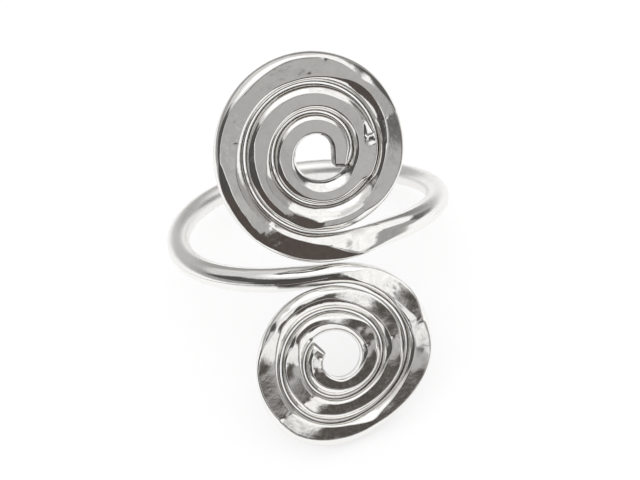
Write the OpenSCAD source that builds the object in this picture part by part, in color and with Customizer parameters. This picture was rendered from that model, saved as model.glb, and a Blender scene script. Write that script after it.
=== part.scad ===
// Swirl ring: one round silver wire that wraps the finger once. Each end is coiled into
// a flat swirl, one above the shank and one below it, and the swirls are hammered flat.
// The ring rests on the floor as it would by itself: it leans back, with the rim of the
// lower swirl and the back of the shank on the floor. The swirls face -Y.

/* [Wire] */
// Diameter of the round wire
wire_d = 1.6; // [1.5:0.05:1.65]
// Thickness of the wire where it is hammered
flat_thick = 1.3; // [1.1:0.05:1.5]
// Height of a hammered wire's rounded sides before their tops are cut flat
side_height = 1.52; // [1.5:0.02:1.6]
// Groove left open between neighbouring turns
turn_gap = 0.08; // [0.07:0.01:0.14]
// Share of the width and height that a cut end keeps at its eased edge
end_ease = 0.86; // [0.7:0.02:1]

/* [Shank] */
// Diameter of the finger hole
finger_d = 17.35; // [16.9:0.05:17.8]
// Height between the wire's two ends at the front of the shank
wrap_rise = 1.8; // [1.75:0.05:2]
// How far both sides of the shank dip below a level helix
side_dip = 0.23; // [0:0.01:0.4]
// Rise and fall of the shank between its sides and its front and back
height_sway = -0.22; // [-0.3:0.02:0.1]
// Change of the shank's radius on its diagonals
radius_sway = -0.14; // [-0.2:0.02:0.1]

/* [Upper swirl] */
// Radius of the wire's middle line where the swirl's eye begins
upper_eye = 1.34; // [1.3:0.02:1.44]
// Spacing of the first turns
upper_pitch = 1.47; // [1.4:0.01:1.5]
// Gain in spacing with each turn
upper_growth = 0.087; // [0.06:0.001:0.1]
// Turn of the swirl's face to the right
upper_yaw = 10.4; // [6:0.1:14]
// Tip of the swirl's face upwards
upper_tip = 4.3; // [0:0.1:8]
// Sideways shift of the swirl's middle
upper_side = -0.25; // [-0.5:0.01:0]
// Height of the swirl's middle over the middle of the shank
upper_high = 6.97; // [6.95:0.01:7.2]
// Length of the straight stub at the wire's inner end
stub_len = 1.05; // [0.8:0.05:1.1]
// How far the stub leans into the eye
stub_lean = 0.22; // [0.2:0.01:0.3]
// Share of its width that the stub's end keeps
stub_taper = 0.7; // [0.6:0.02:0.72]

/* [Lower swirl] */
// Radius of the wire's middle line at its inner end
lower_eye = 1.25; // [1.15:0.01:1.3]
// Spacing of the first turns
lower_pitch = 1.39; // [1.34:0.01:1.4]
// Gain in spacing with each turn
lower_growth = 0.048; // [0.03:0.001:0.06]
// Turn of the swirl's face to the right
lower_yaw = 8.2; // [5:0.1:11]
// Tip of the swirl's face upwards
lower_tip = 15; // [12:0.5:17]
// Sideways shift of the swirl's middle
lower_side = -1.03; // [-1.2:0.01:-0.9]
// Height of the swirl's middle over the middle of the shank
lower_high = -6.14; // [-6.4:0.01:-6.12]
// How far the swirl stands out in front of the shank's wire
lower_out = 0.6; // [0.55:0.05:0.8]
// Slimming of the wire where it passes over the swirl
lead_slim = 0.14; // [0.12:0.01:0.2]

/* [Rest pose] */
// Backward lean of the ring on the floor
lean_back = 24.7; // [15:0.1:35]
// Roll to the side that the ring settles at
settle_roll = 3.3; // [-6:0.1:6]

/* [Hidden] */

// Mesh fineness: sides of the wire's section and degrees or parts between sections
sides = 20;
swirl_step = 12;
shank_step = 5;
lead_steps = 4;

wire_r = wire_d / 2;
shank_r = (finger_d + wire_d) / 2;

// Angle round the finger, from the back through the right side, where each lead ends
upper_leave = 152;
lower_leave = -172;
// Direction from a swirl's middle of its inner and outer end, counted up over the turns
upper_span = [0, 985];
lower_span = [135, 1130];
// The spirals were bent by hand: each row is [lobes round the turn, size, direction]
upper_waves = [[2, 0.093, -75]];
lower_waves = [[2, 0.23, 35], [3, 0.11, 2]];
// Turns over which the waves grow to their full size
wave_turns = 2.5;
// Share of its inner half-width that the wire loses at the start of a swirl's first turn
eye_trim = 0.22;
// Part of the hammering left at the far end of each lead, and where the last of it fades
upper_flat_left = 0.4;
upper_fade = 18;
lower_flat_left = 0.35;
lower_fade = 30;
// Length of the eased edge at the stub's cut end, and angle of the one in the lower eye
stub_ease = 0.1;
lower_ease = 5;
// Where the stub's middle section lies, as a share of its length
stub_middle = 0.45;
// A heading is measured over this angle to each side
nudge = 0.5;
// Reach of a lead's curve handles, as a share of the distance that it crosses
lead_reach = 0.4;

// Columns of a swirl's row
YAW = 0; TIP = 1; SIDE = 2; HIGH = 3; OUT = 4; EYE = 5; PITCH = 6; GROWTH = 7; SPAN = 8; WAVES = 9;
UPPER = [upper_yaw, upper_tip, upper_side, upper_high, 0, upper_eye, upper_pitch, upper_growth,
    upper_span, upper_waves];
LOWER = [lower_yaw, lower_tip, lower_side, lower_high, lower_out, lower_eye, lower_pitch,
    lower_growth, lower_span, lower_waves];

// Plain helpers
function unit(v) = v / norm(v);
function within(x, low, high) = min(max(x, low), high);
function sum(list, i = 0) = i < len(list) ? list[i] + sum(list, i + 1) : 0;
function ease(x) = let (c = within(x, 0, 1)) c * c * (3 - 2 * c);
function mix(a, b, share) = a + (b - a) * share;

// Middle line of the shank at an angle round the finger, 0 at the back and 90 at the right
function shank_point(a) =
    let (r = shank_r + radius_sway * sin(2 * a))
    [r * sin(a), r * cos(a),
        wrap_rise * a / 360 - side_dip * (1 - cos(2 * a)) / 2 + height_sway * sin(2 * a)];
function outward(a) = [sin(a), cos(a), 0];
function shank_heading(a) = unit(shank_point(a - nudge) - shank_point(a + nudge));

// A swirl lies in a plane that touches the shank at the front
function across(s) = [cos(s[YAW]), sin(s[YAW]), 0];
function facing(s) =
    [sin(s[YAW]) * cos(s[TIP]), -cos(s[YAW]) * cos(s[TIP]), sin(s[TIP])];
function upward(s) = cross(facing(s), across(s));
function swirl_middle(s) =
    shank_r * [sin(s[YAW]), -cos(s[YAW]), 0]
    + s[SIDE] * across(s) + s[HIGH] * upward(s) + s[OUT] * facing(s);
function turns(s, a) = (a - s[SPAN][0]) / 360;
function wave(s, a) = sum([for (w = s[WAVES]) w[1] * cos(w[0] * (a - w[2]))]) / wave_turns;
function swirl_radius(s, a) =
    let (t = turns(s, a))
    s[EYE] + s[PITCH] * t + s[GROWTH] * t * t + wave(s, a) * max(t, 0);
function swirl_point(s, a) =
    swirl_middle(s) + swirl_radius(s, a) * (cos(a) * across(s) + sin(a) * upward(s));
function swirl_heading(s, a) = unit(swirl_point(s, a + nudge) - swirl_point(s, a - nudge));
// Half of the local spacing, less the groove
function half_width(s, a) =
    (s[PITCH] + 2 * s[GROWTH] * turns(s, a) + wave(s, a) - turn_gap) / 2;
function trim(s, a) = eye_trim * within(1 - turns(s, a), 0, 1);

// Point at share t of a curve that leaves a along heading ha and meets b along heading hb
function lead_point(a, ha, b, hb, t) =
    let (reach = norm(b - a) * lead_reach, u = 1 - t)
    u * u * u * a + 3 * t * u * u * (a + ha * reach) + 3 * t * t * u * (b - hb * reach)
    + t * t * t * b;

// The wire is a row of stations: [point, face direction, half-width, hammering, inner trim,
// share of the section kept]. The inner trim is negative where the inside is on the left.
function stub_stations() =
    let (top = swirl_point(UPPER, upper_span[0]),
        way = -stub_len * upward(UPPER) - stub_lean * across(UPPER),
        width = half_width(UPPER, upper_span[0]))
    [for (share = [1, 1 - stub_ease / stub_len, stub_middle])
        [top + way * share, facing(UPPER), width * mix(1, stub_taper, share), 1, eye_trim,
            share == 1 ? end_ease : 1]];

function upper_stations() =
    let (count = round((upper_span[1] - upper_span[0]) / swirl_step))
    [for (i = [0:count])
        let (a = mix(upper_span[0], upper_span[1], i / count))
        [swirl_point(UPPER, a), facing(UPPER), half_width(UPPER, a), 1, trim(UPPER, a), 1]];

function upper_lead() =
    let (from = upper_span[1], width = half_width(UPPER, from))
    [for (i = [1:lead_steps])
        let (t = i / (lead_steps + 1))
        [lead_point(swirl_point(UPPER, from), swirl_heading(UPPER, from),
            shank_point(upper_leave), shank_heading(upper_leave), t),
            mix(facing(UPPER), outward(upper_leave), ease(t)), mix(width, wire_r, t),
            mix(1, upper_flat_left, t), 0, 1]];

function shank_stations() =
    let (count = round((upper_leave - lower_leave) / shank_step))
    [for (i = [0:count])
        let (a = mix(upper_leave, lower_leave, i / count))
        [shank_point(a), outward(a), wire_r,
            upper_flat_left * ease(1 - (upper_leave - a) / upper_fade), 0, 1]];

function lower_lead() =
    let (to = lower_span[1], width = half_width(LOWER, to))
    [for (i = [1:lead_steps])
        let (t = i / (lead_steps + 1))
        [lead_point(shank_point(lower_leave), shank_heading(lower_leave),
            swirl_point(LOWER, to), -swirl_heading(LOWER, to), t),
            mix(outward(lower_leave), facing(LOWER), ease(t)),
            mix(wire_r, width, t) - lead_slim * sin(180 * t), lower_flat_left * t, 0, 1]];

function lower_stations() =
    let (count = round((lower_span[1] - lower_span[0]) / swirl_step),
        angles = concat([for (i = [0:count - 1]) mix(lower_span[1], lower_span[0], i / count)],
            [lower_span[0] + lower_ease, lower_span[0]]))
    [for (a = angles)
        [swirl_point(LOWER, a), facing(LOWER), half_width(LOWER, a),
            mix(lower_flat_left, 1, ease((lower_span[1] - a) / lower_fade)), -trim(LOWER, a),
            a == lower_span[0] ? end_ease : 1]];

// Section across the wire: an ellipse whose top and bottom are cut flat by the hammering
function section(station, heading) =
    let (face = unit(station[1] - (station[1] * heading) * heading),
        side = cross(face, heading),
        tall = mix(wire_r, side_height / 2, within(2 * station[3], 0, 1)),
        cut = mix(wire_r, flat_thick / 2, station[3]))
    [for (k = [0:sides - 1])
        let (a = (k + 1 / 2) * 360 / sides,
            inner = cos(a) * station[4] > 0 ? 1 - abs(station[4]) : 1,
            u = station[2] * cos(a) * inner,
            v = within(tall * sin(a), -cut, cut))
        station[0] + station[5] * (u * side + v * face)];

stations = concat(stub_stations(), upper_stations(), upper_lead(), shank_stations(),
    lower_lead(), lower_stations());
last = len(stations) - 1;
sections = [for (i = [0:last])
    section(stations[i], unit(stations[min(i + 1, last)][0] - stations[max(i - 1, 0)][0]))];

// The rest pose: leaned back, rolled until it is steady, and set on the floor
function lean(p) = [p.x, p.y * cos(lean_back) + p.z * sin(lean_back),
    -p.y * sin(lean_back) + p.z * cos(lean_back)];
function roll(p) = [p.x * cos(settle_roll) + p.z * sin(settle_roll), p.y,
    -p.x * sin(settle_roll) + p.z * cos(settle_roll)];
rested = [for (ring = sections, p = ring) roll(lean(p))];
lowest = min([for (p = rested) p.z]);
middle_x = (min([for (p = rested) p.x]) + max([for (p = rested) p.x])) / 2;
middle_y = (min([for (p = rested) p.y]) + max([for (p = rested) p.y])) / 2;
placed = [for (p = rested) p - [middle_x, middle_y, lowest]];

// Sides between each pair of sections, in triangles, and one flat face at each end
walls = [for (i = [0:last - 1], k = [0:sides - 1])
    let (a = i * sides + k, b = i * sides + (k + 1) % sides)
    each [[a, b + sides, b], [a, a + sides, b + sides]]];
ends = [[for (k = [0:sides - 1]) k], [for (k = [sides - 1:-1:0]) last * sides + k]];

module ring_wire() {
    color("silver") polyhedron(points = placed, faces = concat(walls, ends));
}

ring_wire();
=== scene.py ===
import math

import bpy
import numpy as np
from mathutils import Matrix, Vector


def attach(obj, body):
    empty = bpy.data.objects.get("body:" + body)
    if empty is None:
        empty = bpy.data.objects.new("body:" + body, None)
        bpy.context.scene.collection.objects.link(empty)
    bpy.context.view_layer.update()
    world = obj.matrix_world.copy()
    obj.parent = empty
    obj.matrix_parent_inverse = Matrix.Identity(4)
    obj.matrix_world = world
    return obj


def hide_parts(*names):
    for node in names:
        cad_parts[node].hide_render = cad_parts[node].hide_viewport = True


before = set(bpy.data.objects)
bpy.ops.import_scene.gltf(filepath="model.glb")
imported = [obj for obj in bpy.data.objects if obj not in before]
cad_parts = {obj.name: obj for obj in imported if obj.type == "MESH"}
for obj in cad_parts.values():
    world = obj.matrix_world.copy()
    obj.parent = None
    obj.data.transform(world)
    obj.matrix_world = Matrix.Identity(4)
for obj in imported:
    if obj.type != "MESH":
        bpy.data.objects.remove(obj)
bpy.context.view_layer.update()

MM = 0.001

# Sizes of the ring in millimetres and degrees, as in the part's source
WIRE_D, FLAT_THICK, SIDE_HEIGHT, TURN_GAP, END_EASE = 1.6, 1.3, 1.52, 0.08, 0.86
FINGER_D, WRAP_RISE, SIDE_DIP, HEIGHT_SWAY, RADIUS_SWAY = 17.35, 1.8, 0.23, -0.22, -0.14
STUB_LEN, STUB_LEAN, STUB_TAPER, STUB_MIDDLE, STUB_EASE = 1.05, 0.22, 0.7, 0.45, 0.1
LEAD_SLIM, LEAD_REACH = 0.14, 0.4
UPPER_LEAVE, LOWER_LEAVE = 152.0, -172.0
UPPER_LEFT, UPPER_FADE, LOWER_LEFT, LOWER_FADE = 0.4, 18.0, 0.35, 30.0
WAVE_TURNS, EYE_TRIM, LOWER_EASE = 2.5, 0.22, 5.0
LEAN_BACK, SETTLE_ROLL = 24.7, 3.3
UPPER = dict(yaw=10.4, tip=4.3, side=-0.25, high=6.97, out=0.0, eye=1.34, pitch=1.47,
             growth=0.087, span=(0.0, 985.0), waves=((2, 0.093, -75.0),))
LOWER = dict(yaw=8.2, tip=15.0, side=-1.03, high=-6.14, out=0.6, eye=1.25, pitch=1.39,
             growth=0.048, span=(135.0, 1130.0), waves=((2, 0.23, 35.0), (3, 0.11, 2.0)))
WIRE_R = WIRE_D / 2
SHANK_R = (FINGER_D + WIRE_D) / 2
# The source's own coarse mesh: degrees between the stations of a swirl and of the shank, stations
# on a lead and points round a section
COARSE_SWIRL, COARSE_SHANK, COARSE_LEAD, COARSE_SIDES = 12.0, 5.0, 4, 20
# The fine mesh: millimetres of wire between the stations of a swirl, degrees between those of the
# shank, stations on a lead, and where those of the stub are, as shares of its length
FINE_STEP, FINE_SHANK, FINE_LEAD, FINE_STUB = 0.1, 1.5, 28, (0.8, 0.06, 10)
# Angles that a swirl's length is measured at
LENGTH_N = 4000
# The kinds of station, in the wire's order
STUB, UPPER_SWIRL, UPPER_LEAD, SHANK, LOWER_LEAD, LOWER_SWIRL = range(6)


def sin(a):
    return np.sin(np.radians(a))


def cos(a):
    return np.cos(np.radians(a))


def unit(v):
    return v / np.linalg.norm(v, axis=-1, keepdims=True)


def mix(a, b, t):
    return a + (b - a) * t


def ease(t):
    t = np.clip(t, 0, 1)
    return t * t * (3 - 2 * t)


def rows(*cols):
    return np.stack(np.broadcast_arrays(*[np.asarray(c, float) for c in cols]), -1)


def shank_point(a):
    r = SHANK_R + RADIUS_SWAY * sin(2 * a)
    z = WRAP_RISE * a / 360 - SIDE_DIP * (1 - cos(2 * a)) / 2 + HEIGHT_SWAY * sin(2 * a)
    return rows(r * sin(a), r * cos(a), z)


def outward(a):
    return rows(sin(a), cos(a), 0 * a)


def shank_heading(a):
    return unit(shank_point(a - 0.5) - shank_point(a + 0.5))


def across(s):
    return np.array([cos(s["yaw"]), sin(s["yaw"]), 0.0])


def facing(s):
    return np.array([sin(s["yaw"]) * cos(s["tip"]), -cos(s["yaw"]) * cos(s["tip"]), sin(s["tip"])])


def upward(s):
    return np.cross(facing(s), across(s))


def swirl_middle(s):
    return (SHANK_R * np.array([sin(s["yaw"]), -cos(s["yaw"]), 0.0]) + s["side"] * across(s)
            + s["high"] * upward(s) + s["out"] * facing(s))


def turns(s, a):
    """Turns of a swirl from its inner end."""
    return (a - s["span"][0]) / 360


def wave(s, a):
    """How much a swirl's radius leaves a plain spiral with each turn."""
    return sum(size * cos(lobes * (a - way)) for lobes, size, way in s["waves"]) / WAVE_TURNS


def swirl_radius(s, a):
    t = turns(s, a)
    return s["eye"] + s["pitch"] * t + s["growth"] * t * t + wave(s, a) * np.maximum(t, 0)


def swirl_point(s, a):
    a = np.asarray(a, float)
    ray = cos(a)[..., None] * across(s) + sin(a)[..., None] * upward(s)
    return swirl_middle(s) + swirl_radius(s, a)[..., None] * ray


def swirl_heading(s, a):
    return unit(swirl_point(s, a + 0.5) - swirl_point(s, a - 0.5))


def half_width(s, a):
    return (s["pitch"] + 2 * s["growth"] * turns(s, a) + wave(s, a) - TURN_GAP) / 2


def trim(s, a):
    """Share of its half width that the wire lacks on the inner side of a swirl's first turn."""
    return EYE_TRIM * np.clip(1 - turns(s, a), 0, 1)


def lead_point(a, ha, b, hb, t):
    """Points at shares t of the curve from a, heading ha, to b, heading hb."""
    reach = np.linalg.norm(b - a) * LEAD_REACH
    t, u = t[:, None], 1 - t[:, None]
    return (u**3 * a + 3 * t * u * u * (a + ha * reach) + 3 * t * t * u * (b - hb * reach)
            + t**3 * b)


def swirl_angles(s, step):
    """Angles from a swirl's inner to its outer end, a step in degrees or FINE_STEP apart if 0."""
    first, last = s["span"]
    if step:
        return np.linspace(first, last, round((last - first) / step) + 1)
    a = np.linspace(first, last, LENGTH_N)
    pieces = np.linalg.norm(np.diff(swirl_point(s, a), axis=0), axis=1)
    run = np.concatenate([[0], np.cumsum(pieces)])
    return np.interp(np.linspace(0, run[-1], round(run[-1] / FINE_STEP) + 1), run, a)


def wire(swirl_step, shank_step, lead_steps, stub_shares):
    """Stations along the wire, from the upper cut end to the lower one, as named arrays.

    p is the middle of the wire, face the direction that its face looks in, width half its width,
    ham the share of full hammering, cut the share of width that is off the +u or, below 0, the -u
    side, and scale the section's size. at is the angle of a swirl or the shank, the share of a
    lead or, below 0, that of the stub.
    """
    parts = []

    def add(kind, p, face, width, ham, cut, scale, at):
        n = len(p)
        one = lambda x: np.broadcast_to(np.asarray(x, float), (n,)).copy()
        parts.append(dict(kind=np.full(n, kind), p=p, face=np.broadcast_to(face, (n, 3)).copy(),
                          width=one(width), ham=one(ham), cut=one(cut), scale=one(scale),
                          at=one(at)))

    share = np.array([1.0, 1 - STUB_EASE / STUB_LEN, *stub_shares])
    way = -STUB_LEN * upward(UPPER) - STUB_LEAN * across(UPPER)
    add(STUB, swirl_point(UPPER, 0.0) + share[:, None] * way, facing(UPPER),
        half_width(UPPER, 0.0) * mix(1, STUB_TAPER, share), 1, EYE_TRIM,
        np.where(share == 1, END_EASE, 1), -share)
    a1 = UPPER["span"][1]
    a = swirl_angles(UPPER, swirl_step)
    add(UPPER_SWIRL, swirl_point(UPPER, a), facing(UPPER), half_width(UPPER, a), 1,
        trim(UPPER, a), 1, a)
    t = np.arange(1, lead_steps + 1) / (lead_steps + 1)
    add(UPPER_LEAD,
        lead_point(swirl_point(UPPER, a1), swirl_heading(UPPER, a1),
                   shank_point(UPPER_LEAVE), shank_heading(UPPER_LEAVE), t),
        mix(facing(UPPER), outward(UPPER_LEAVE), ease(t)[:, None]),
        mix(half_width(UPPER, a1), WIRE_R, t), mix(1, UPPER_LEFT, t), 0, 1, t)
    a = np.linspace(UPPER_LEAVE, LOWER_LEAVE, round((UPPER_LEAVE - LOWER_LEAVE) / shank_step) + 1)
    add(SHANK, shank_point(a), outward(a), WIRE_R,
        UPPER_LEFT * ease(1 - (UPPER_LEAVE - a) / UPPER_FADE), 0, 1, a)
    a0, a1 = LOWER["span"]
    add(LOWER_LEAD,
        lead_point(shank_point(LOWER_LEAVE), shank_heading(LOWER_LEAVE),
                   swirl_point(LOWER, a1), -swirl_heading(LOWER, a1), t),
        mix(outward(LOWER_LEAVE), facing(LOWER), ease(t)[:, None]),
        mix(WIRE_R, half_width(LOWER, a1), t) - LEAD_SLIM * sin(180 * t), LOWER_LEFT * t, 0, 1, t)
    a = swirl_angles(LOWER, swirl_step)[::-1]
    if swirl_step:
        a = np.append(a[:-1], [a0 + LOWER_EASE, a0])
    add(LOWER_SWIRL, swirl_point(LOWER, a), facing(LOWER), half_width(LOWER, a),
        mix(LOWER_LEFT, 1, ease((a1 - a) / LOWER_FADE)), -trim(LOWER, a),
        np.where(a == a0, END_EASE, 1), a)
    return {k: np.concatenate([q[k] for q in parts]) for k in parts[0]}


def headings(p):
    before = np.concatenate([p[:1], p[:-1]])
    after = np.concatenate([p[1:], p[-1:]])
    return unit(after - before)


def rest(p):
    """Leans and rolls points or directions as the part's source does."""
    x, y, z = p[..., 0], p[..., 1], p[..., 2]
    y, z = y * cos(LEAN_BACK) + z * sin(LEAN_BACK), -y * sin(LEAN_BACK) + z * cos(LEAN_BACK)
    x, z = x * cos(SETTLE_ROLL) + z * sin(SETTLE_ROLL), -x * sin(SETTLE_ROLL) + z * cos(SETTLE_ROLL)
    return np.stack([x, y, z], -1)


def tall_of(w):
    """Half the section's height, which is the swirls' from half of full hammering on."""
    return mix(WIRE_R, SIDE_HEIGHT / 2, np.clip(2 * w["ham"], 0, 1))[:, None]


def rear_of(w):
    """How far behind the wire's middle its flat rear is."""
    return mix(WIRE_R, FLAT_THICK / 2, w["ham"])[:, None]


def placed(w, u, v):
    """Points u across each station and v out of its face, at rest, before the shift."""
    head = headings(w["p"])
    face = unit(w["face"] - (w["face"] * head).sum(1, keepdims=True) * head)
    side = np.cross(face, head)
    pts = w["p"][:, None] + w["scale"][:, None, None] * (
        u[..., None] * side[:, None] + v[..., None] * face[:, None])
    return rest(pts.reshape(-1, 3))


def coarse_shift():
    """How far the source moves the ring to set it on the floor, from its own coarse sections."""
    w = wire(COARSE_SWIRL, COARSE_SHANK, COARSE_LEAD, [STUB_MIDDLE])
    rear = rear_of(w)
    a = (np.arange(COARSE_SIDES) + 0.5) * 360 / COARSE_SIDES
    inner = np.where(cos(a) * w["cut"][:, None] > 0, 1 - abs(w["cut"][:, None]), 1)
    pts = placed(w, w["width"][:, None] * cos(a) * inner, np.clip(tall_of(w) * sin(a), -rear, rear))
    low, high = pts.min(0), pts.max(0)
    return np.array([(low[0] + high[0]) / 2, (low[1] + high[1]) / 2, low[2]])


SHIFT = coarse_shift()

# The camera, in the frame that the ring was designed in, before it leans back: degrees above the
# ring and of roll, millimetres away, pixels to the millimetre there, and how far right of the
# picture's middle and above it that frame's origin lies, in millimetres
CAM_UP, CAM_TURN, CAM_FAR, CAM_SCALE, CAM_X, CAM_Y = 22.379, 8.399, 64.973, 13.762, -1.030, 2.117
SENSOR_WIDTH, IMAGE_WIDTH = 36.0, 640


def add_camera():
    right0 = np.array([1.0, 0, 0])
    up0 = np.array([0, sin(CAM_UP), cos(CAM_UP)])
    back = np.array([0, -cos(CAM_UP), sin(CAM_UP)])
    right = cos(CAM_TURN) * right0 - sin(CAM_TURN) * up0
    up = sin(CAM_TURN) * right0 + cos(CAM_TURN) * up0
    spot = CAM_FAR * back - CAM_X * right - CAM_Y * up
    spot = (rest(spot) - SHIFT) * MM
    data = bpy.data.cameras.new("camera")
    data.sensor_width = SENSOR_WIDTH
    data.lens = SENSOR_WIDTH * CAM_SCALE * CAM_FAR / IMAGE_WIDTH
    data.clip_start, data.clip_end = 0.001, 10.0
    cam = bpy.data.objects.new("camera", data)
    turn = Matrix([list(rest(v)) for v in (right, up, back)]).transposed()
    cam.matrix_world = Matrix.Translation(Vector(spot)) @ turn.to_4x4()
    bpy.context.scene.collection.objects.link(cam)
    bpy.context.scene.camera = cam


# The flats that the hammer left on the swirls' faces. A is the angle of a swirl's spiral, T the
# share of a lead, which goes on past 1 on the shank. OUT and IN are the flat's edges, from -1 at
# the inner side of the wire to 1 at its outer side. OUT_S and IN_S are where the rounded shoulders
# begin. TILT is the flat's lean away from the swirl's middle in degrees.
#  A, OUT, OUT_S, IN, IN_S, TILT
UPPER_FLATS = (
    (0, .45, .62, -.50, -.60, 0), (45, .48, .62, -.50, -.56, 0), (60, .45, .50, -.50, -.55, 0),
    (100, .45, .50, -.50, -.54, 0), (140, .48, .52, -.48, -.52, 0), (170, .55, .62, -.42, -.46, 0),
    (180, .50, .75, -.40, -.44, 0), (200, .45, .90, -.25, -.40, 0), (230, .45, .76, -.20, -.36, 0),
    (255, .48, .58, -.10, -.20, 0), (280, .50, .54, -.10, -.25, 0), (300, .42, .46, -.15, -.30, 0),
    (318, .42, .46, -.40, -.44, 0), (326, .86, .92, -.50, -.54, 0), (360, .86, .92, -.50, -.55, 0),
    (371, .60, .72, -.48, -.58, 0), (376, .38, .60, -.48, -.58, 0), (400, .31, .52, -.50, -.60, 0),
    (415, .30, .48, -.48, -.54, 0), (426, .28, .36, -.47, -.51, 0), (435, .32, .36, -.47, -.51, 0),
    (470, .38, .42, -.48, -.52, 0), (500, .48, .53, -.55, -.60, 0), (520, .45, .66, -.53, -.58, 0),
    (535, .37, .78, -.48, -.56, 0), (545, .30, .82, -.35, -.55, 0), (553, .28, .80, -.20, -.50, 0),
    (570, .30, .75, -.15, -.50, 0), (590, .33, .66, -.14, -.55, 0), (596, .50, .58, -.12, -.40, 5),
    (613, .62, .66, -.08, -.16, 5), (621, .50, .54, .20, .12, 5), (626, .35, .39, .05, -.04, 0),
    (650, .37, .41, .03, -.04, 0), (660, .30, .34, 0, -.06, 0), (668, .50, .54, -.25, -.31, 0),
    (680, .62, .66, -.45, -.51, 0), (700, .72, .76, -.50, -.62, 0), (715, .66, .72, -.40, -.66, 1),
    (730, .62, .70, -.25, -.64, 2.6), (737, .60, .70, -.20, -.60, 3),
    (738.5, .58, .70, -.18, -.60, 0), (750, .45, .50, -.14, -.56, 0),
    (765, .30, .35, -.14, -.54, 0), (771, .16, .22, -.18, -.54, 0), (780, .38, .43, -.30, -.54, 0),
    (790, .55, .60, -.44, -.58, 0), (800, .63, .68, -.54, -.61, 0), (820, .63, .68, -.60, -.66, 0),
    (835, .52, .57, -.52, -.56, 0), (850, .45, .62, -.50, -.54, 0), (860, .60, .66, -.50, -.54, 0),
    (880, .62, .68, -.46, -.52, 0), (893, .60, .74, -.40, -.52, 0), (900, .42, .78, -.30, -.52, 0),
    (908, .28, .84, -.28, -.52, 0), (920, .25, .86, -.30, -.52, 0), (932, .25, .86, -.38, -.50, 0),
    (940, .34, .86, -.44, -.50, -1), (944, .42, .86, -.46, -.50, 0),
    (947, .50, .84, -.46, -.50, 5), (956, .62, .76, -.47, -.51, 5), (970, .65, .71, -.50, -.54, 5),
    (985, .62, .66, -.35, -.39, 5),
)
#  T, OUT, OUT_S, IN, IN_S, TILT
UPPER_LEAD_FLATS = (
    (0, .62, .66, -.35, -.39, 5), (.2, .66, .70, -.02, -.60, 5), (.36, .69, .74, .36, -.72, 5),
    (.5, .71, .77, .67, -.66, 5), (.65, .70, .76, .66, -.66, 4), (.9, .60, .66, .55, -.60, 2),
    (1.2, .25, .33, .22, -.35, 0), (1.5, 0, .10, 0, -.10, 0),
)
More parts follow.
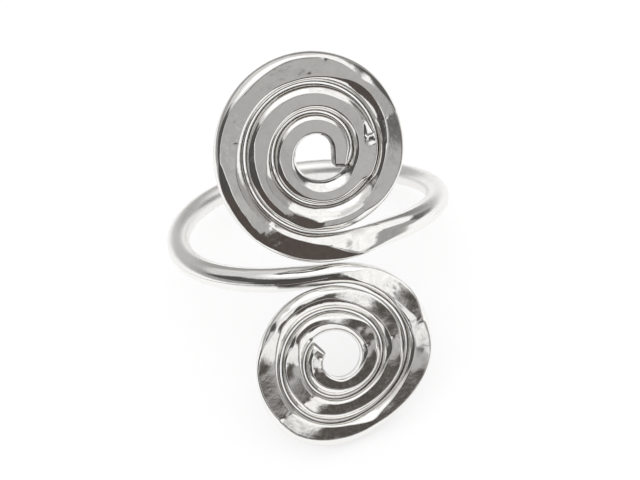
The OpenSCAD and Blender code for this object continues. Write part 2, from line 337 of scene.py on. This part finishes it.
#  A, OUT, OUT_S, IN, IN_S, TILT
LOWER_FLATS = (
    (135, .30, .75, -.30, -.36, 0), (150, .38, .60, -.50, -.54, -.5),
    (157, .40, .58, -.51, -.55, -.5), (161, .42, .57, -.51, -.55, 5),
    (170, .45, .55, -.52, -.56, 5), (180, .35, .40, -.52, -.56, 5), (186, .35, .40, -.53, -.57, 5),
    (198, .35, .40, -.55, -.60, -3), (220, .25, .30, -.60, -.64, -4),
    (250, .05, .10, -.65, -.70, -4), (270, .08, .12, -.60, -.64, -3.5),
    (300, .25, .30, -.68, -.72, -3.5), (330, .40, .44, -.60, -.68, -3.5),
    (352, .45, .50, -.45, -.60, -2.5), (361, .40, .45, -.30, -.40, 1),
    (365, .25, .34, -.25, -.34, 4), (375, .40, .45, -.28, -.36, 4),
    (376.5, .45, .50, -.30, -.38, -1), (400, .80, .84, -.35, -.42, -1.5),
    (425, .50, .55, -.20, -.28, 3), (440, .30, .42, -.10, -.20, 5), (450, .30, .42, 0, -.08, 4),
    (475, .55, .60, .20, .14, 0), (500, .55, .60, .22, .14, 0), (507, .40, .55, .10, -.05, 4),
    (512, .34, .50, -.15, -.22, 5), (520, .60, .68, -.32, -.38, 5), (530, .68, .74, -.48, -.54, 4),
    (539, .62, .67, -.56, -.62, -1), (550, .52, .56, -.62, -.66, -5.5),
    (575, .35, .40, -.62, -.66, -5.5), (582, .30, .34, -.60, -.64, -5.5),
    (583.5, .32, .38, -.60, -.64, -9), (592, .40, .45, -.60, -.66, -9),
    (600, .35, .40, -.60, -.66, -6), (608, .22, .28, -.62, -.67, -4),
    (640, .20, .26, -.65, -.70, -4), (660, .30, .34, -.66, -.70, -3.5),
    (680, .45, .50, -.62, -.67, -3), (700, .53, .57, -.63, -.68, -2.5),
    (709, .50, .55, -.50, -.60, -1), (719, .30, .38, -.24, -.34, 4),
    (730, .36, .42, -.26, -.34, 4), (731.5, .40, .44, -.26, -.34, -1.5),
    (745, .62, .66, -.30, -.36, -1.5), (757, .70, .75, -.32, -.38, 0),
    (772, .80, .86, -.32, -.38, 5), (790, .66, .72, -.16, -.24, 5), (800, .50, .56, 0, -.08, 3),
    (808, .46, .52, .10, .02, 0), (840, .46, .52, .08, 0, 0), (858, .50, .56, .05, -.04, 0),
    (864, .34, .50, -.10, -.20, 5), (872, .47, .60, -.25, -.32, 5), (880, .75, .82, -.37, -.44, 5),
    (890, .85, .90, -.45, -.51, 2), (898, .85, .90, -.50, -.55, -2),
    (915, .66, .71, -.53, -.58, -3), (935, .42, .48, -.53, -.58, -3),
    (936.5, .44, .52, -.53, -.58, -9), (950, .42, .55, -.62, -.68, -9),
    (960, .32, .44, -.70, -.76, -8), (970, .22, .30, -.76, -.80, -5),
    (980, .16, .22, -.76, -.80, -4), (990, .16, .22, -.70, -.76, -4),
    (1000, .18, .24, -.45, -.52, -4), (1009, .20, .26, -.14, -.22, -3.5),
    (1013, .24, .30, -.16, -.24, -3), (1020, .32, .38, -.35, -.42, -3),
    (1040, .50, .55, -.52, -.70, -3), (1058, .66, .71, -.54, -.72, -2),
    (1066, .70, .76, -.48, -.68, 1), (1076, .72, .78, -.46, -.62, 5),
    (1084, .62, .68, -.52, -.60, 5), (1090, .48, .54, -.64, -.72, 5),
    (1093.8, .40, .46, -.68, -.76, 5), (1094.6, .38, .44, .28, -.78, -2),
    (1098, .46, .52, .05, -.80, -2), (1102, .58, .64, -.15, -.80, -1.8),
    (1107, .72, .78, -.32, -.80, -1), (1112, .80, .86, -.46, -.78, 1),
    (1118, .84, .90, -.52, -.70, 3), (1125, .78, .84, -.50, -.60, 5),
    (1130, .72, .78, -.48, -.54, 5),
)
#  T, OUT, OUT_S, IN, IN_S, TILT
LOWER_LEAD_FLATS = (
    (0, 0, 0, 0, 0, 0), (.58, 0, 0, 0, 0, 0), (.66, .10, .20, -.10, -.20, 5),
    (.76, .50, .58, -.38, -.46, 5), (.88, .62, .70, -.44, -.50, 5), (1, .72, .78, -.48, -.54, 5),
)

# How far out a flat may reach and a shoulder may begin, as shares of the wire's half width
FLAT_MOST, START_MOST = 0.9, 0.97
# Stations either side of one that its flat's edges are smoothed with, and the width of the bell
EDGE_REACH, EDGE_SMOOTH = 4, 2.0
# Slope where a shoulder begins beside a wide flat, its most beside a narrow one, as a share of the
# height over the width that is left, and the most of that height that the shoulder's arc takes up
SHOULDER_SLOPE, SLOPE_MOST, ARC_MOST = 0.64, 0.42, 0.45
# The narrowest rounding of a flat's edge in millimetres, the most of the space before a shoulder
# that a second, smaller facet takes up, and that facet's slope and the space that it needs
EDGE_ROUND, FACET_MOST, FACET_SLOPE, FACET_FROM = 0.09, 0.9, 0.33, 0.13
# Slope of the upper lead's facets, and the shares of the lead where they begin to steepen to it
# and that this takes
LEAD_FACET_SLOPE, LEAD_FACET_FROM, LEAD_FACET_BLEND = 0.46, 0.3, 0.35
# Shares of the two leads between which the hammered shoulders grow out of the round section,
# which for the upper lead begins on the shank
UPPER_ROUND, LOWER_ROUND = (1.5, 0.5), (0.58, 0.88)
# Degrees of the shank past the upper lead that count as one more length of that lead
LEAD_TURN = 40.0
# Slope of the facet on the inner side of the lower swirl, by angle
#  A, SLOPE
INNER_FACET = (
    (1084, FACET_SLOPE), (1084.1, -0.044), (1094.1, -0.044), (1094.3, -0.105), (1118, -0.105),
    (1119, FACET_SLOPE),
)
# Points across the face's flat, each rounded edge and each shoulder, and across the rear's
# shoulders and flat, and the sine of the steepest angle that the rear's flat may begin at
FLAT_N, EDGE_N, SHOULDER_N, REAR_SHOULDER_N, REAR_N, REAR_MOST = 13, 5, 7, 5, 5, 0.995
# Height above the wire's middle below which the grooves, lower shoulders and rear of the swirls are
# darkened, partly real tarnish and partly painted shade, how much they are, the depth below which a
# pit is painted dark as shade, and the satin part of the shank, in degrees either side of its back
GROOVE_TOP, GROOVE_SHARE, PIT_DARK, SATIN_FROM, SATIN_FADE = 0.3, 0.5, 0.05, 142.0, 22.0


def place_of(w):
    """Angle of a swirl or share of a lead, and the kind whose table holds each station."""
    past = (w["kind"] == SHANK) & (w["at"] > 0)
    at = np.where(past, 1 + (UPPER_LEAVE - w["at"]) / LEAD_TURN, w["at"])
    return at, np.where(past, UPPER_LEAD, w["kind"])


def flats_of(w):
    """Each station's flat: edge and shoulder's beginning on the +u and the -u side, and slope."""
    at, kinds = place_of(w)
    n = len(at)
    out = np.zeros((n, 5))
    for kind, table in ((UPPER_SWIRL, UPPER_FLATS), (UPPER_LEAD, UPPER_LEAD_FLATS),
                        (LOWER_LEAD, LOWER_LEAD_FLATS), (LOWER_SWIRL, LOWER_FLATS)):
        mine = kinds == kind
        t = np.array(table, float)
        for c in range(5):
            out[mine, c] = np.interp(at[mine], t[:, 0], t[:, c + 1])
    out[w["kind"] == STUB] = UPPER_FLATS[0][1:]
    reach = np.arange(-EDGE_REACH, EDGE_REACH + 1)
    bell = np.exp(-((reach / EDGE_SMOOTH) ** 2))
    wide = np.pad(out[:, :4], ((EDGE_REACH, EDGE_REACH), (0, 0)), mode="edge")
    out[:, :4] = sum(b * wide[i:i + n] for i, b in enumerate(bell)) / bell.sum()
    slope = np.tan(np.radians(out[:, 4]))
    lower = w["kind"] >= LOWER_LEAD
    hi = np.where(lower, out[:, 0], -out[:, 2])
    hi_s = np.where(lower, out[:, 1], -out[:, 3])
    lo = np.where(lower, out[:, 2], -out[:, 0])
    lo_s = np.where(lower, out[:, 3], -out[:, 1])
    return hi, hi_s, lo, lo_s, np.where(lower, slope, -slope)


def facets_of(w):
    """Slope of the second facet on the +u and the -u side, 0 where there is none."""
    at, kinds = place_of(w)
    lead = (kinds == UPPER_LEAD) * ease((at - LEAD_FACET_FROM) / LEAD_FACET_BLEND)
    plus = mix(FACET_SLOPE, LEAD_FACET_SLOPE, lead) * hammered_of(w) * (kinds != LOWER_LEAD)
    own = np.interp(w["at"], *np.array(INNER_FACET).T)
    return plus, np.where(w["kind"] == LOWER_SWIRL, own, plus)


def hammered_of(w):
    """1 where the sides of a flat are sharp shoulders, 0 where the section is plainly round."""
    at, kinds = place_of(w)
    share = np.where(kinds == SHANK, 0.0, 1.0)
    for kind, (start, stop) in ((UPPER_LEAD, UPPER_ROUND), (LOWER_LEAD, LOWER_ROUND)):
        share = np.where(kinds == kind, ease((at - start) / (stop - start)), share)
    return share


def half_profile(edge, start, half, top, slope, facet, sharp):
    """Facet or rounded edge and shoulder from a flat's edge down to the wire's side, as u and v."""
    edge, start, half, top, slope, facet, sharp = [
        x[:, None] for x in (edge, start, half, top, slope, facet, sharp)]
    steep = sharp * np.minimum(SHOULDER_SLOPE, SLOPE_MOST * top / (half - start))
    t = (np.arange(EDGE_N) + 1) / EDGE_N
    second = (facet != 0) * ease((start - edge) / FACET_FROM - 1)
    first = mix(slope, np.minimum(facet + slope / 2, steep), second)
    bend = second * np.clip(1 - EDGE_ROUND / (start - edge), 0, FACET_MOST)
    u1 = edge + (start - edge) * t
    v1 = top - (start - edge) * (
        first * t + (steep - first) * np.maximum(t - bend, 0) ** 2 / (2 * (1 - bend)))
    low = v1[:, -1:]
    k = np.minimum(steep * (half - start) / low, ARC_MOST)
    c = k / (1 - k)
    phi = np.arccos(np.clip(c, 0, 1)) * (1 - (np.arange(SHOULDER_N) + 1) / SHOULDER_N)
    u2 = start + (half - start) * (np.cos(phi) - c) / (1 - c)
    v2 = low * np.sin(phi) / np.sin(np.arccos(np.clip(c, 0, 1)))
    return np.concatenate([u1, u2], 1), np.concatenate([v1, v2], 1)


def half_widths(w):
    """How far the wire reaches on the +u and the -u side of each station."""
    width, cut = w["width"], w["cut"]
    return width * np.where(cut > 0, 1 - abs(cut), 1), width * np.where(cut < 0, 1 - abs(cut), 1)


def face_profile(w):
    """The face across each station, from its +u to its -u side, as u and v."""
    ham, width = w["ham"], w["width"]
    plus, minus = half_widths(w)
    hi, hi_s, lo, lo_s, slope = flats_of(w)
    hi_u = np.minimum(hi * width, FLAT_MOST * plus)
    lo_u = np.maximum(lo * width, -FLAT_MOST * minus)
    hi_su = np.minimum(np.maximum(hi_s * width, hi_u + EDGE_ROUND), START_MOST * plus)
    lo_su = np.maximum(np.minimum(lo_s * width, lo_u - EDGE_ROUND), -START_MOST * minus)
    top = mix(WIRE_R, FLAT_THICK / 2, ease(ham / UPPER_LEFT))
    mid = (hi_u + lo_u) / 2
    at_hi, at_lo = top - slope * (hi_u - mid), top - slope * (lo_u - mid)
    facet_hi, facet_lo = facets_of(w)
    sharp = hammered_of(w)
    ua, va = half_profile(hi_u, hi_su, plus, at_hi, slope, facet_hi, sharp)
    ub, vb = half_profile(-lo_u, -lo_su, minus, at_lo, -slope, facet_lo, sharp)
    f = np.linspace(0, 1, FLAT_N)
    uf = hi_u[:, None] + (lo_u - hi_u)[:, None] * f
    vf = top[:, None] - slope[:, None] * (uf - mid[:, None])
    return np.concatenate([ua[:, ::-1], uf, -ub], 1), np.concatenate([va[:, ::-1], vf, vb], 1)


def rear_profile(w):
    """The rear across each station, from its -u to its +u side, as u and v."""
    plus, minus = half_widths(w)
    tall, rear = tall_of(w), rear_of(w)
    edge = np.degrees(np.arcsin(np.clip(rear / tall, 0, REAR_MOST)))
    r = np.linspace(0, 1, REAR_SHOULDER_N + 2)[1:-1]
    g = np.linspace(-1, 1, REAR_N)
    ang = np.concatenate([180 + edge * r, 180 + edge + (180 - 2 * edge) * (g + 1) / 2,
                          360 - edge * r[::-1]], 1)
    ur = cos(ang) * np.where(cos(ang) > 0, plus[:, None], minus[:, None])
    return ur, np.maximum(tall * sin(ang), -rear)


def tarnish_and_shade_of(w, u, v, relief):
    """How dark each point of the section is, from 0 to 1, by its place and its pits: partly real
    tarnish, partly painted shade.
    """
    # Deep pits are painted dark as shade.
    pits = ease(-relief / PIT_DARK - 1)
    # Grooves, lower shoulders and rear of the hammered wire: partly real tarnish, partly painted
    # shade.
    grooves = GROOVE_SHARE * ease((GROOVE_TOP - v) / GROOVE_TOP) * ease(2 * w["ham"][:, None])
    # Painted shadow on the inner wall of the upper swirl's eye and of the stub.
    eye = (w["kind"] <= UPPER_SWIRL) & (w["at"] < EYE_SHADOW_UPTO)
    wall = eye[:, None] * ease((u / half_widths(w)[0][:, None] - EYE_EDGE) / EYE_SOFT)
    # Cut ends painted fully dark: partly real tarnish, partly painted shade.
    upper_end = (w["kind"] == STUB) & (w["at"] < -CUT_DARK_FROM)
    lower_end = (w["kind"] == LOWER_SWIRL) & (w["at"] < CUT_TURN)
    ends = (upper_end | lower_end)[:, None]
    return np.where(ends, 1, np.maximum(np.maximum(pits, grooves), wall))


def ring_mesh():
    """Points, faces, tarnish and painted shade, and satin of the ring: one closed skin of quads
    with two caps.
    """
    w = wire(0, FINE_SHANK, FINE_LEAD, np.linspace(*FINE_STUB))
    u, v = face_profile(w)
    relief = marks(w, u, v)
    rear_u, rear_v = rear_profile(w)
    u, v = np.concatenate([u, rear_u], 1), np.concatenate([v + relief, rear_v], 1)
    relief = np.concatenate([relief, 0 * rear_u], 1)
    tarnish_and_shade = tarnish_and_shade_of(w, u, v, relief)
    worn = np.where(w["kind"] == SHANK, ease((SATIN_FROM - abs(w["at"])) / SATIN_FADE), 0)
    satin = np.broadcast_to(worn[:, None], u.shape)
    pts = (placed(w, u, v) - SHIFT) * MM
    n, k = u.shape
    i, j = np.meshgrid(np.arange(n - 1), np.arange(k), indexing="ij")
    a, b = i * k + j, i * k + (j + 1) % k
    quads = np.stack([a, b, b + k, a + k], -1).reshape(-1, 4)
    caps = [list(range(k - 1, -1, -1)), [(n - 1) * k + j for j in range(k)]]
    return pts, quads.tolist() + caps, tarnish_and_shade.ravel(), satin.ravel()


# Dents in the swirls' faces: the swirl, A the angle, Q the place across the wire, from -1 at its
# inner to 1 at its outer side, and ALONG, OVER and DEPTH the sizes in millimetres
#  SWIRL, A, Q, ALONG, OVER, DEPTH
DENTS = (
    (UPPER_SWIRL, 365, .52, .13, .20, .26), (UPPER_SWIRL, 809, -.25, .06, .06, .03),
    (UPPER_SWIRL, 799, .62, .05, .10, .03), (UPPER_SWIRL, 474, 0, .03, .50, .008),
    (UPPER_SWIRL, 321, .75, .05, .12, .03), (UPPER_SWIRL, 857, 0, .035, .60, .006),
)
# Burrs that stand up from the face: A and Q of the crest, how far the slopes reach along the wire
# to greater and to smaller A, half the width and the height, in millimetres
#  SWIRL, A, Q, AHEAD, BEHIND, OVER, HEIGHT
BURRS = ((UPPER_SWIRL, 371.5, .48, .75, .40, .42, .19),)
# A burr's width at its tips, as a share of that at its crest, and how many times the steepness of
# a plain ridge its side walls have
BURR_TIP, BURR_WALL = 0.4, 4
# Painted shadow on the inner wall of the upper swirl's eye, up to an angle, from a share of the
# half width and growing over another, and dark on the wire's cut ends, partly real tarnish and
# partly painted shade, from a share of the stub and up to an angle of the lower swirl
EYE_SHADOW_UPTO, EYE_EDGE, EYE_SOFT, CUT_DARK_FROM, CUT_TURN = 75.0, 0.7, 0.08, 0.9, 139.0
# Shallow hammer marks scattered over the flats: how many on each swirl, how far from the wire's
# middle, size, stretch across the wire and depth, in millimetres
MARK_SEED, MARK_COUNT, MARK_OFF, MARK_SIZE = 11, 260, 0.5, (0.22, 0.5)
MARK_STRETCH, MARK_DEPTH = (0.7, 1.3), (0.001, 0.003)
# Coarser ones on the stretches below: how many to the millimetre of wire, and the same sizes
ROUGH_COUNT, ROUGH_SIZE, ROUGH_STRETCH, ROUGH_DEPTH = 14, (0.08, 0.16), (0.6, 2.0), (0.003, 0.007)
# Stretches between two angles, between INNER and OUTER across the wire, as Q is, and how many
# times larger and fewer the marks are there
#  SWIRL, FROM, TO, INNER, OUTER, LARGER
ROUGH = (
    (UPPER_SWIRL, 862, 903, -.5, .6, 1), (UPPER_SWIRL, 938, 985, -.5, .6, 1),
    (LOWER_SWIRL, 385, 402, -.3, .6, 1.5), (LOWER_SWIRL, 1119, 1129, -.5, .8, 1),
    (LOWER_SWIRL, 806, 862, .55, .8, 3),
)
# Times its size that a mark reaches, and the height above the wire's middle where marks are whole
MARK_REACH, MARK_WHOLE = 3, 0.5


def marks(w, u, v):
    """What burrs add to the face, and marks and dents take off it, at each point of it."""
    rng = np.random.default_rng(MARK_SEED)
    relief = np.zeros_like(u)
    for kind, s in ((UPPER_SWIRL, UPPER), (LOWER_SWIRL, LOWER)):
        mine = np.where(w["kind"] == kind)[0]
        at = w["at"][mine]
        out_u = u[mine] * (1 if kind == LOWER_SWIRL else -1)
        radius = swirl_radius(s, at)
        order = np.argsort(at)
        run = np.zeros(len(at))
        width = w["width"][mine].mean()
        steps = np.radians(np.diff(at[order])) * (radius[order][1:] + radius[order][:-1]) / 2
        run[order] = np.concatenate([[0], np.cumsum(steps)])
        pits = [(float(np.interp(d[1], at[order], run[order])),
                 d[2] * float(np.interp(d[1], at[order], w["width"][mine][order])), *d[3:])
                for d in DENTS if d[0] == kind]
        for _ in range(MARK_COUNT):
            size = rng.uniform(*MARK_SIZE)
            pits.append((rng.uniform(0, run.max()), rng.uniform(-MARK_OFF, MARK_OFF), size,
                         size * rng.uniform(*MARK_STRETCH), rng.uniform(*MARK_DEPTH)))
        for which, start, stop, inner, outer, large in ROUGH:
            if which == kind:
                ends = np.interp([start, stop], at[order], run[order])
                for _ in range(round(ROUGH_COUNT * (ends[1] - ends[0]) / large)):
                    size = large * rng.uniform(*ROUGH_SIZE)
                    pits.append((rng.uniform(*ends), rng.uniform(inner, outer) * width, size,
                                 size * rng.uniform(*ROUGH_STRETCH) / large,
                                 large * rng.uniform(*ROUGH_DEPTH)))
        total = np.zeros_like(out_u)
        for where, q, along, over, depth in pits:
            near = np.where(abs(run - where) < MARK_REACH * along)[0]
            total[near] -= depth * np.exp(-((run[near] - where) / along)[:, None] ** 2
                                          - ((out_u[near] - q) / over) ** 2)
        for which, crest, q, ahead, behind, over, height in BURRS:
            if which == kind:
                along = run - np.interp(crest, at[order], run[order])
                rise = np.clip(1 - np.where(along > 0, along / ahead, -along / behind), 0, 1)
                reach = over * mix(BURR_TIP, 1, rise)[:, None]
                wall = BURR_WALL - BURR_WALL * abs(out_u - q * width) / reach
                total += height * rise[:, None] * np.clip(wall, 0, 1)
        relief[mine] = total * np.clip(v[mine] / MARK_WHOLE, 0, 1) ** 2
    return relief


class Maths:
    """Small helper that chains a material's or the world's nodes."""

    def __init__(self, tree):
        self.tree = tree

    def do(self, op, *values):
        node = self.tree.nodes.new("ShaderNodeMath")
        node.operation = op
        for socket, value in zip(node.inputs, values):
            if isinstance(value, (int, float)):
                socket.default_value = value
            else:
                self.tree.links.new(value, socket)
        return node.outputs[0]

    def rise(self, x, start, stop):
        """Eases from 0 at start to 1 at stop."""
        node = self.tree.nodes.new("ShaderNodeMapRange")
        node.interpolation_type = "SMOOTHSTEP"
        self.tree.links.new(x, node.inputs["Value"])
        node.inputs["From Min"].default_value = start
        node.inputs["From Max"].default_value = stop
        return node.outputs[0]

    def band(self, x, low, high, soft_low, soft_high):
        """1 between low and high, 0 outside, with an eased edge of its own width at each."""
        up = self.rise(x, low - soft_low / 2, low + soft_low / 2)
        down = self.rise(x, high + soft_high / 2, high - soft_high / 2)
        return self.do("MULTIPLY", up, down)

    def noise(self, place, scale, detail):
        node = self.tree.nodes.new("ShaderNodeTexNoise")
        self.tree.links.new(place, node.inputs["Vector"])
        node.inputs["Scale"].default_value = scale
        node.inputs["Detail"].default_value = detail
        return node.outputs["Fac"]

    def attribute(self, name):
        node = self.tree.nodes.new("ShaderNodeAttribute")
        node.attribute_name = name
        return node.outputs["Fac"]

    def span(self, x, start, stop, low, high):
        """Maps the range from start to stop onto that from low to high, and clamps it."""
        node = self.tree.nodes.new("ShaderNodeMapRange")
        self.tree.links.new(x, node.inputs["Value"])
        sockets = ("From Min", "From Max", "To Min", "To Max")
        for socket, value in zip(sockets, (start, stop, low, high)):
            node.inputs[socket].default_value = value
        return node.outputs[0]

    def blend(self, share, first, second):
        """Mixes two colours, each a tuple or a socket."""
        node = self.tree.nodes.new("ShaderNodeMix")
        node.data_type = "RGBA"
        self.tree.links.new(share, node.inputs[0])
        # Inputs 6 and 7 and output 2 are the node's colours A, B and Result
        for socket, value in ((node.inputs[6], first), (node.inputs[7], second)):
            if isinstance(value, tuple):
                socket.default_value = (*value, 1)
            else:
                self.tree.links.new(value, socket)
        return node.outputs[2]


# The part of a noise's range that is used
NOISE_SPAN = (0.3, 0.7)
# The metal's colours, bright and that of full tarnish and painted shade, and its roughness: of the
# polish, what its grain, full tarnish and painted shade and the satin part of the shank add to
# that, and how metallic the satin is
BRIGHT, TARNISH_AND_SHADE = (0.91, 0.9, 0.88), (0.05, 0.045, 0.04)
POLISH, GRAIN_ROUGH, TARNISH_AND_SHADE_ROUGH, SATIN_ROUGH, SATIN_METAL = 0.06, 0.06, 0.3, 0.22, 0.85
# Scales of the fine and the broad grain in waves to the metre, their detail, how much more of the
# broad one the bump has, and its depth in metres
GRAIN_FINE, GRAIN_BROAD, FINE_DETAIL, BROAD_DETAIL = 4500.0, 1400.0, 4.0, 3.0
BROAD_BUMP, GRAIN_DEPTH = 2.0, 0.000003
# The least share of a place's tarnish and painted shade that the broad grain leaves, and the faint
# spots of tarnish that it makes elsewhere: part of its range, and how dark
TARNISH_AND_SHADE_LEAST, SPOT_SPAN, SPOT_DARK = 0.55, (0.62, 0.8), 0.12


def silver():
    m = bpy.data.materials.new("silver")
    m.use_nodes = True
    tree = m.node_tree
    maths = Maths(tree)
    shader = tree.nodes["Principled BSDF"]
    place = tree.nodes.new("ShaderNodeTexCoord").outputs["Object"]
    fine = maths.noise(place, GRAIN_FINE, FINE_DETAIL)
    broad = maths.noise(place, GRAIN_BROAD, BROAD_DETAIL)
    # This attribute holds real tarnish and painted shade together.
    tarnish_and_shade = maths.attribute("tarnish_and_shade")
    satin = maths.attribute("satin")
    dark = maths.do("MULTIPLY", tarnish_and_shade, maths.span(broad, *NOISE_SPAN, TARNISH_AND_SHADE_LEAST, 1.0))
    dark = maths.do("MAXIMUM", dark, maths.span(broad, *SPOT_SPAN, 0.0, SPOT_DARK))
    colour = maths.blend(dark, BRIGHT, TARNISH_AND_SHADE)
    rough = maths.do("ADD", maths.span(fine, *NOISE_SPAN, POLISH, POLISH + GRAIN_ROUGH),
                     maths.do("MULTIPLY", dark, TARNISH_AND_SHADE_ROUGH))
    rough = maths.do("ADD", rough, maths.do("MULTIPLY", satin, SATIN_ROUGH))
    tree.links.new(colour, shader.inputs["Base Color"])
    tree.links.new(rough, shader.inputs["Roughness"])
    tree.links.new(maths.span(satin, 0.0, 1.0, 1.0, SATIN_METAL), shader.inputs["Metallic"])
    bump = tree.nodes.new("ShaderNodeBump")
    bump.inputs["Strength"].default_value = 1.0
    bump.inputs["Distance"].default_value = GRAIN_DEPTH
    grain = maths.do("ADD", fine, maths.do("MULTIPLY", broad, BROAD_BUMP))
    tree.links.new(grain, bump.inputs["Height"])
    tree.links.new(bump.outputs[0], shader.inputs["Normal"])
    return m


def add_ring():
    pts, faces, tarnish_and_shade, satin = ring_mesh()
    mesh = bpy.data.meshes.new("silver_wire")
    mesh.from_pydata(pts.tolist(), [], faces)
    for name, values in (("tarnish_and_shade", tarnish_and_shade), ("satin", satin)):
        mesh.attributes.new(name, "FLOAT", "POINT").data.foreach_set("value", values)
    mesh.update()
    mesh.shade_smooth()
    obj = bpy.data.objects.new("silver_wire", mesh)
    bpy.context.scene.collection.objects.link(obj)
    obj.data.materials.append(silver())
    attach(obj, "root")
    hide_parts("ring_wire")


# The floor is a pale round sheet that ends a little way in front of the ring: its radius and how
# far behind the ring its middle is, in metres, its corners, tone and roughness, and the light that
# it gives
FLOOR_R, FLOOR_Y, FLOOR_N, FLOOR_TONE, FLOOR_ROUGH, FLOOR_GLOW = 0.1, 0.076, 96, 0.4, 0.8, 0.62


def add_floor():
    mesh = bpy.data.meshes.new("floor")
    a = np.linspace(0, 2 * math.pi, FLOOR_N, endpoint=False)
    pts = rows(FLOOR_R * np.cos(a), FLOOR_R * np.sin(a) + FLOOR_Y, 0 * a)
    mesh.from_pydata(pts.tolist(), [], [list(range(FLOOR_N))])
    obj = bpy.data.objects.new("floor", mesh)
    bpy.context.scene.collection.objects.link(obj)
    m = bpy.data.materials.new("paper")
    m.use_nodes = True
    shader = m.node_tree.nodes["Principled BSDF"]
    shader.inputs["Base Color"].default_value = (FLOOR_TONE, FLOOR_TONE, FLOOR_TONE, 1)
    shader.inputs["Roughness"].default_value = FLOOR_ROUGH
    shader.inputs["Emission Color"].default_value = (1, 1, 1, 1)
    shader.inputs["Emission Strength"].default_value = FLOOR_GLOW
    obj.data.materials.append(m)


# What the ring's reflections show of the studio: patches of tone over the white, each over those
# before it, and each an area of azimuth and height above the horizon in degrees, with the widths of
# its soft edges. Azimuth 0 is straight in front and grows to the right.
#  LEFT, RIGHT, SOFT_L, SOFT_R, LOW, HIGH, SOFT_B, SOFT_T, COLOUR
STUDIO = (
    (-400, 400, 1, 1, -95, 62, 1, 16, (0.57, 0.567, 0.562)),
    (-400, 400, 1, 1, -95, -6, 1, 12, (0.80, 0.797, 0.792)),
    (-400, 400, 1, 1, -6, 27, 10, 8, (0.30, 0.297, 0.292)),
    (140, 400, 20, 1, 0, 28, 8, 10, (0.22, 0.217, 0.213)),
    (92, 124, 6, 6, -4, 24, 8, 8, (0.09, 0.088, 0.085)),
    (64, 140, 8, 20, 26, 62, 8, 10, (0.85, 0.85, 0.845)),
    (-100, -30, 14, 8, 14, 47, 8, 8, (0.07, 0.068, 0.065)),
    (-36, 14, 8, 8, 20, 44, 6, 8, (0.05, 0.048, 0.045)),
    (-50, -4, 10, 6, -4, 20, 6, 4, (0.06, 0.058, 0.055)),
    (-62, -30, 8, 6, -35, -4, 8, 6, (0.75, 0.747, 0.742)),
    (-4, 36, 6, 3, 8, 48, 2, 8, (0.8, 0.8, 0.795)),
    (34, 66, 4, 4, 26, 62, 4, 8, (0.85, 0.85, 0.845)),
    (-30, 30, 6, 4, -60, 6.5, 10, 1.2, (0.070, 0.058, 0.052)),
    (8, 31.5, 3, 3, 6.5, 27, 1.2, 2, (0.375, 0.372, 0.368)),
    (29.5, 40, 2, 4, 5, 16, 2, 2, (0.12, 0.117, 0.113)),
    (9, 28, 3, 6, 21.5, 31, 4.5, 4, (0.068, 0.060, 0.054)),
)
# Scale and detail of the noise that makes the tones uneven, and by how much
STUDIO_GRAIN, STUDIO_DETAIL, STUDIO_UNEVEN = 14.0, 2.0, 0.18
# The white under the patches, what everything but reflections sees, and the strength of both
STUDIO_WHITE, STUDIO_BACK, STUDIO_POWER = (1.0, 1.0, 0.995), (0.83, 0.83, 0.83), 1.2


def add_world():
    world = bpy.data.worlds.new("studio")
    world.use_nodes = True
    tree = world.node_tree
    m = Maths(tree)
    back = tree.nodes["Background"]
    place = tree.nodes.new("ShaderNodeTexCoord").outputs["Generated"]
    split = tree.nodes.new("ShaderNodeSeparateXYZ")
    tree.links.new(place, split.inputs[0])
    x, y, z = split.outputs
    turn = m.do("MULTIPLY", m.do("ARCTAN2", x, m.do("MULTIPLY", y, -1.0)), 180 / math.pi)
    height = m.do("MULTIPLY", m.do("ARCSINE", z), 180 / math.pi)
    colour = STUDIO_WHITE
    for left, right, soft_l, soft_r, low, high, soft_b, soft_t, tone in STUDIO:
        area = m.do("MULTIPLY", m.band(turn, left, right, soft_l, soft_r),
                    m.band(height, low, high, soft_b, soft_t))
        colour = m.blend(area, colour, tone)
    uneven = m.span(m.noise(place, STUDIO_GRAIN, STUDIO_DETAIL), *NOISE_SPAN,
                    1 - STUDIO_UNEVEN, 1 + STUDIO_UNEVEN)
    scaled = tree.nodes.new("ShaderNodeVectorMath")
    scaled.operation = "SCALE"
    tree.links.new(colour, scaled.inputs[0])
    tree.links.new(uneven, scaled.inputs["Scale"])
    path = tree.nodes.new("ShaderNodeLightPath")
    seen = m.blend(path.outputs["Is Glossy Ray"], STUDIO_BACK, scaled.outputs[0])
    tree.links.new(seen, back.inputs["Color"])
    back.inputs["Strength"].default_value = STUDIO_POWER
    bpy.context.scene.world = world


add_camera()
add_ring()
add_floor()
add_world()
bpy.context.scene.view_settings.view_transform = "Standard"
